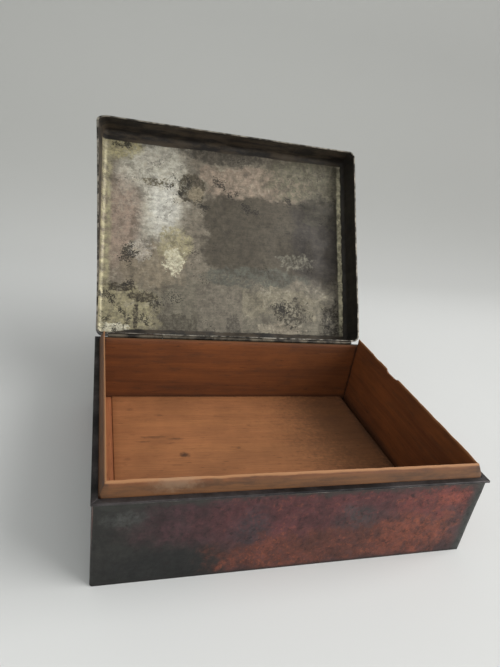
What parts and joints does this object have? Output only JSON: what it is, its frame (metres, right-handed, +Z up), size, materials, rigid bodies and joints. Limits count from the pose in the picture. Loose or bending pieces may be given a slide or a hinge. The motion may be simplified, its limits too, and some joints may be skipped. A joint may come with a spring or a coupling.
{
  "type": "hinged lined metal box",
  "caption": "Low sheet-metal box with a thin bevelled wood liner and a shallow tray lid that swings open on a full-length barrel hinge.",
  "frame": {"origin": "middle of the underside of the base plate", "axes": "+Z up, +Y to the back where the hinge is, +X to the right seen from the front"},
  "size_m": [0.1796, 0.2307, 0.1648],
  "materials": {
    "case_plate": "silver plate worn through to dull red copper, darkly tarnished",
    "rim_metal": "grey tarnished plate with a worn edge",
    "lid_plate": "mottled tarnished silver plate inside, worn plate and copper outside",
    "hinge_metal": "tarnished drawn tube",
    "pin_metal": "dull wire",
    "liner_wood": "bare straight-grained cedar, darkened",
    "floor_wood": "bare cedar, paler and worn"
  },
  "bodies": {
    "case": {"base_plate": "case_plate", "case_wall": "case_plate", "rim_front": "rim_metal", "rim_right": "rim_metal", "rim_back": "rim_metal", "rim_left": "rim_metal", "liner_front": "liner_wood", "liner_right": "liner_wood", "liner_back": "liner_wood", "liner_left": "liner_wood", "liner_floor": "floor_wood", "floor_filler": "liner_wood", "case_knuckle_left": "hinge_metal", "case_knuckle_middle": "hinge_metal", "case_knuckle_right": "hinge_metal", "hinge_pin": "pin_metal"},
    "lid": {"lid_shell": "lid_plate", "lid_knuckle_left": "hinge_metal", "lid_knuckle_right": "hinge_metal"}
  },
  "joints": [
    {"name": "lid_hinge", "type": "hinge", "parent": "case", "child": "lid", "pos_m": [0, 0.0711, 0.045], "axis": [1, 0, 0], "range_deg": [0, 122]}
  ]
}
